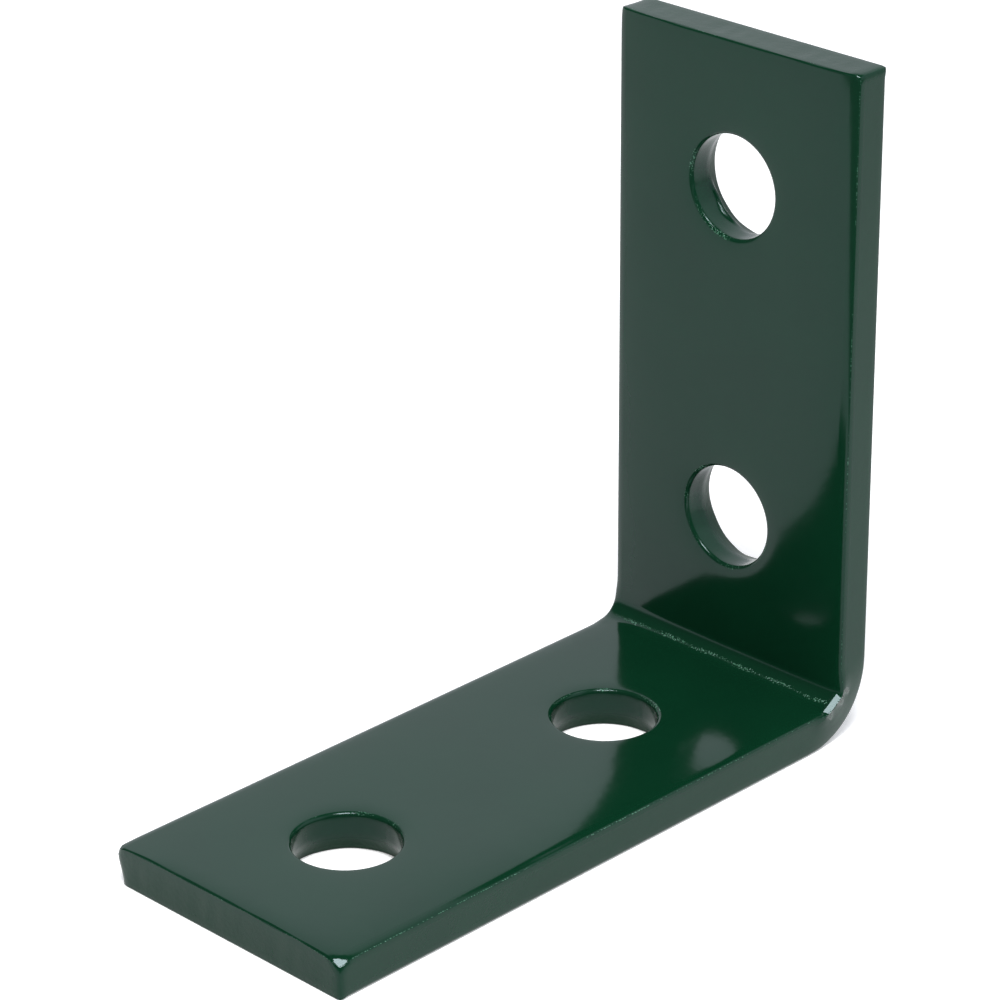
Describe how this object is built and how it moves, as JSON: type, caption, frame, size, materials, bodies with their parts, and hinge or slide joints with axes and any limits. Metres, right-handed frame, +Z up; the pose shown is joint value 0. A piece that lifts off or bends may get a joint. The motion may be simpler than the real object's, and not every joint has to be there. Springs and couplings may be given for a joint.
{
  "type": "angle bracket",
  "caption": "Right-angle bracket folded from a flat steel bar, with punched bolt holes through both legs and a glossy enamel finish.",
  "frame": {"origin": "middle of the part's outline, on the flat surface that the foot's underside stands on", "axes": "+X along the foot from the heel to the toe, +Y across the bar's width, +Z up the upright"},
  "size_m": [0.098, 0.0422, 0.0948],
  "materials": {
    "green_enamel": "glossy dark green enamel over sheared and punched steel"
  },
  "bodies": {
    "root": {"angle_bracket": "green_enamel"}
  },
  "joints": []
}
